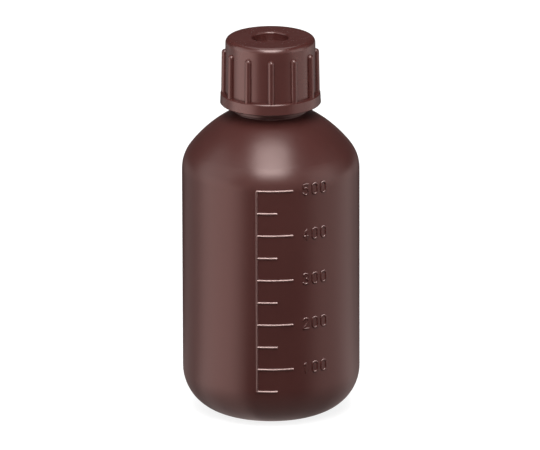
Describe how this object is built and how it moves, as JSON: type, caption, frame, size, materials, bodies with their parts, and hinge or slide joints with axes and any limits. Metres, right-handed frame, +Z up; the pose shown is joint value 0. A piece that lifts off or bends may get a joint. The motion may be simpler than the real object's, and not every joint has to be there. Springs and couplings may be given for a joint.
{
  "type": "narrow mouth bottle",
  "caption": "Round brown plastic laboratory bottle with a domed shoulder, raised volume scale and ribbed screw cap.",
  "frame": {"origin": "middle of the ring that the bottle stands on", "axes": "+Z up along the bottle's axis; the scale faces -Y and reads from -Y, with +X to its right"},
  "size_m": [0.08, 0.0805, 0.1737],
  "materials": {
    "bottle_plastic": "satin, translucent brown polyethylene",
    "cap_plastic": "semi-gloss moulded",
    "liner_foam": "matt foamed polyethylene"
  },
  "bodies": {
    "bottle_body": {"bottle": "bottle_plastic"},
    "liner_body": {"sealing_liner": "liner_foam"},
    "cap_body": {"screw_cap": "cap_plastic"}
  },
  "joints": [
    {"name": "cap_lift", "type": "slide", "parent": "bottle_body", "child": "liner_body", "axis": [0, 0, 1], "range_m": [0, 0.0294]},
    {"name": "cap_turn", "type": "hinge", "parent": "liner_body", "child": "cap_body", "pos_m": [0, 0, 0.1432], "axis": [0, 0, 1], "range_deg": [0, 2520]}
  ],
  "couplings": [
    {"joint": "cap_lift", "follows": "cap_turn", "m_per_rad": 0.00066845}
  ]
}
